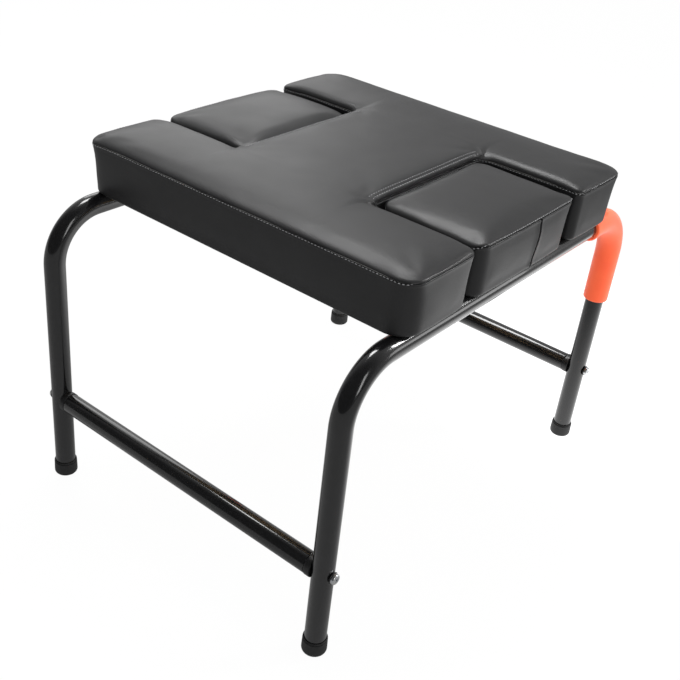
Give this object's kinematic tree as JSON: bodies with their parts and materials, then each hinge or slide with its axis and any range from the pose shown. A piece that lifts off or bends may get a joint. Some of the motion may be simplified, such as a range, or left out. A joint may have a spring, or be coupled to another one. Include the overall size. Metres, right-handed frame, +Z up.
{
  "type": "headstand stool",
  "caption": "Stool for supported headstands: bent tube frames, crossbars, grips and a notched padded seat whose side pads lift out.",
  "frame": {"origin": "on the floor, below the middle of the seat", "axes": "+X towards the right frame, +Y towards the end with the hand grips, +Z up"},
  "size_m": [0.4666, 0.605, 0.4498],
  "materials": {
    "black_paint": "gloss black powder coat",
    "orange_rubber": "satin moulded rubber",
    "black_rubber": "matt moulded rubber",
    "black_plastic": "fine moulded texture",
    "bright_zinc": "bright zinc plate",
    "black_vinyl": "satin coated vinyl with a fine grain",
    "grey_foam": "open-cell upholstery foam",
    "birch_plywood": "raw birch plywood",
    "beech": "raw turned beech"
  },
  "bodies": {
    "stool": {"frame_right": "black_paint", "frame_left": "black_paint", "grip_right": "orange_rubber", "grip_left": "orange_rubber", "foot_front_right": "black_rubber", "foot_front_left": "black_rubber", "foot_rear_right": "black_rubber", "foot_rear_left": "black_rubber", "crossbar_front": "black_paint", "crossbar_rear": "black_paint", "saddle_front_right": "black_plastic", "saddle_front_left": "black_plastic", "saddle_rear_right": "black_plastic", "saddle_rear_left": "black_plastic", "threaded_insert_front_right": "bright_zinc", "threaded_insert_front_left": "bright_zinc", "threaded_insert_rear_right": "bright_zinc", "threaded_insert_rear_left": "bright_zinc", "crossbar_washer_front_right": "black_plastic", "crossbar_washer_front_left": "black_plastic", "crossbar_washer_rear_right": "black_plastic", "crossbar_washer_rear_left": "black_plastic", "crossbar_screw_front_right": "bright_zinc", "crossbar_screw_front_left": "bright_zinc", "crossbar_screw_rear_right": "bright_zinc", "crossbar_screw_rear_left": "bright_zinc", "main_pad_board": "birch_plywood", "main_pad_foam": "grey_foam", "main_pad_cover": "black_vinyl", "pad_screw_front_right": "bright_zinc", "pad_screw_front_left": "bright_zinc", "pad_screw_rear_right": "bright_zinc", "pad_screw_rear_left": "bright_zinc", "pad_nut_front_right": "bright_zinc", "pad_nut_front_left": "bright_zinc", "pad_nut_rear_right": "bright_zinc", "pad_nut_rear_left": "bright_zinc", "support_strap_front": "black_paint", "support_strap_rear": "black_paint", "strap_screw_front_right": "bright_zinc", "strap_screw_front_left": "bright_zinc", "strap_screw_rear_right": "bright_zinc", "strap_screw_rear_left": "bright_zinc"},
    "insert_right": {"insert_right_board": "birch_plywood", "insert_right_foam": "grey_foam", "insert_right_cover": "black_vinyl", "insert_right_pin_front": "beech", "insert_right_pin_rear": "beech"},
    "insert_left": {"insert_left_board": "birch_plywood", "insert_left_foam": "grey_foam", "insert_left_cover": "black_vinyl", "insert_left_pin_front": "beech", "insert_left_pin_rear": "beech"}
  },
  "joints": [
    {"name": "insert_right_lift", "type": "slide", "parent": "stool", "child": "insert_right", "axis": [0, 0, 1], "range_m": [0, 0.1]},
    {"name": "insert_left_lift", "type": "slide", "parent": "stool", "child": "insert_left", "axis": [0, 0, 1], "range_m": [0, 0.1]}
  ]
}
